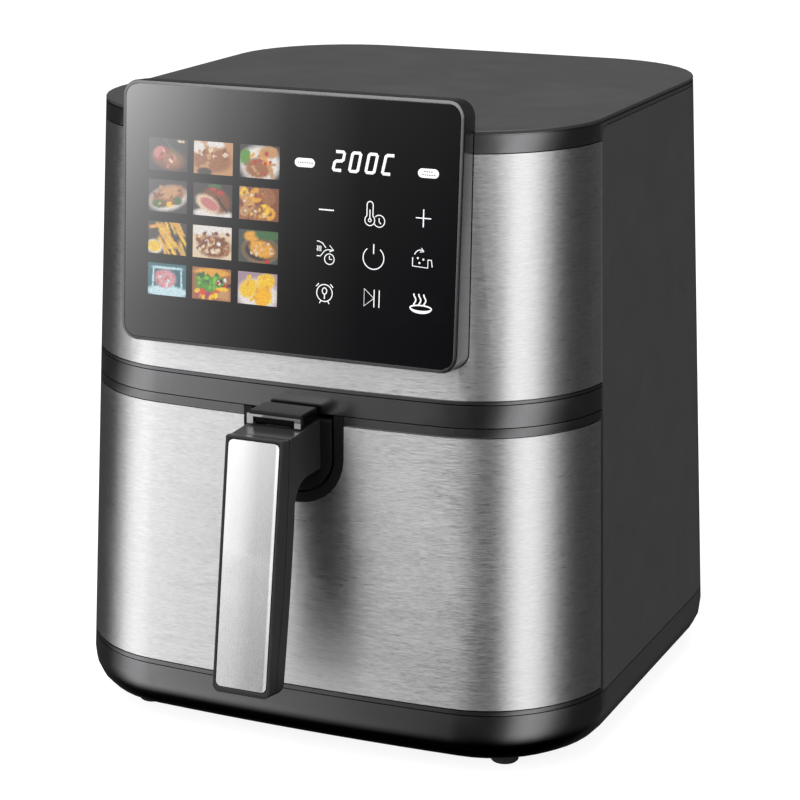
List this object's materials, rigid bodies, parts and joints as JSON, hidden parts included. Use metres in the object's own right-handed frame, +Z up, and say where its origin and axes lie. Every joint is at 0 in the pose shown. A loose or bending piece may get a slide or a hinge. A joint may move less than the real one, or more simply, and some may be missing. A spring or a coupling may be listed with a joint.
{
  "type": "air fryer",
  "caption": "Counter-top air fryer with a tapered casing, steel front, tilted touch display, pull-out drawer with basket, and a latched handle",
  "frame": {"origin": "on the floor under the middle of the overall footprint, handle and cord gland included", "axes": "+Z up; -Y points out of the front, where the display and the handle are; +X is on the right seen from the front"},
  "size_m": [0.2964, 0.3511, 0.3457],
  "materials": {
    "charcoal_plastic": "satin charcoal moulding",
    "black_plastic": "gloss black moulding",
    "brushed_steel": "fine horizontal brushing",
    "plated_sheet": "plain plated sheet and turned steel",
    "nonstick_coating": "dark non-stick coating",
    "foot_rubber": "matte rubber",
    "chrome_trim": "bright chrome",
    "display_glass": "glossy dark panel, opaque where unlit",
    "board_green": "circuit board",
    "heat_plastic": "heat-resistant moulding",
    "polished_insert": "satin bright metal",
    "button_grey": "dark grey moulding",
    "bolt_plastic": "acetal",
    "heater_sheath": "heat-darkened sheath",
    "fan_plastic": "fan moulding",
    "ceramic": "ceramic body",
    "magnet_nickel": "nickel plate"
  },
  "bodies": {
    "housing": {"base_tray": "charcoal_plastic", "foot_front_left": "foot_rubber", "foot_front_right": "foot_rubber", "foot_rear_left": "foot_rubber", "foot_rear_right": "foot_rubber", "base_screw_front_left": "plated_sheet", "base_screw_front_right": "plated_sheet", "base_screw_rear_left": "plated_sheet", "base_screw_rear_right": "plated_sheet", "outer_shell": "charcoal_plastic", "top_frame": "charcoal_plastic", "top_cover": "charcoal_plastic", "upper_front_frame": "black_plastic", "upper_front_panel": "brushed_steel", "mid_band": "charcoal_plastic", "display_housing": "black_plastic", "display_glass": "display_glass", "display_board": "board_green", "display_back": "black_plastic", "chamber_liner": "plated_sheet", "heat_reflector": "plated_sheet", "heater_guard": "plated_sheet", "heater_coil": "heater_sheath", "guide_rail_left": "plated_sheet", "guide_rail_right": "plated_sheet", "fan_motor": "plated_sheet", "motor_bracket": "plated_sheet", "rear_vent_grille": "black_plastic", "cord_gland": "foot_rubber", "temperature_probe": "plated_sheet", "drawer_sensor": "black_plastic", "control_board": "board_green", "thermal_cutout": "ceramic"},
    "drawer": {"drawer_front_frame": "black_plastic", "drawer_front_steel": "brushed_steel", "drawer_escutcheon": "black_plastic", "drawer_inner_cover": "heat_plastic", "drawer_pan": "nonstick_coating", "sensor_magnet": "magnet_nickel", "basket": "nonstick_coating", "basket_floor": "nonstick_coating", "handle_strap": "plated_sheet", "handle_plate": "black_plastic", "handle_rear_shell": "black_plastic", "handle_front_shell": "black_plastic", "handle_insert": "polished_insert", "handle_screw_left": "plated_sheet", "handle_screw_right": "plated_sheet", "button_spring": "plated_sheet"},
    "button": {"release_button": "button_grey"},
    "bolt": {"latch_bolt": "bolt_plastic"},
    "cover": {"button_cover": "black_plastic", "cover_trim": "chrome_trim"},
    "rotor": {"motor_shaft": "plated_sheet", "convection_fan": "plated_sheet", "cooling_fan": "fan_plastic", "fan_nut": "plated_sheet"}
  },
  "joints": [
    {"name": "drawer_slide", "type": "slide", "parent": "housing", "child": "drawer", "axis": [0, -1, 0], "range_m": [0, 0.215]},
    {"name": "button_press", "type": "slide", "parent": "drawer", "child": "button", "axis": [0, 0, -1], "range_m": [0, 0.003], "stiffness_N_per_m": 1500, "springref_m": -0.002, "deforming": ["button_spring"]},
    {"name": "latch_slide", "type": "slide", "parent": "drawer", "child": "bolt", "axis": [0, -1, 0], "range_m": [0, 0.003]},
    {"name": "cover_slide", "type": "slide", "parent": "drawer", "child": "cover", "axis": [0, -1, 0], "range_m": [0, 0.013]},
    {"name": "fan_spin", "type": "hinge", "parent": "housing", "child": "rotor", "pos_m": [0, 0.03948, 0.2414], "axis": [0, 0, 1], "continuous": true}
  ],
  "couplings": [
    {"joint": "latch_slide", "follows": "button_press", "ratio": 1}
  ]
}
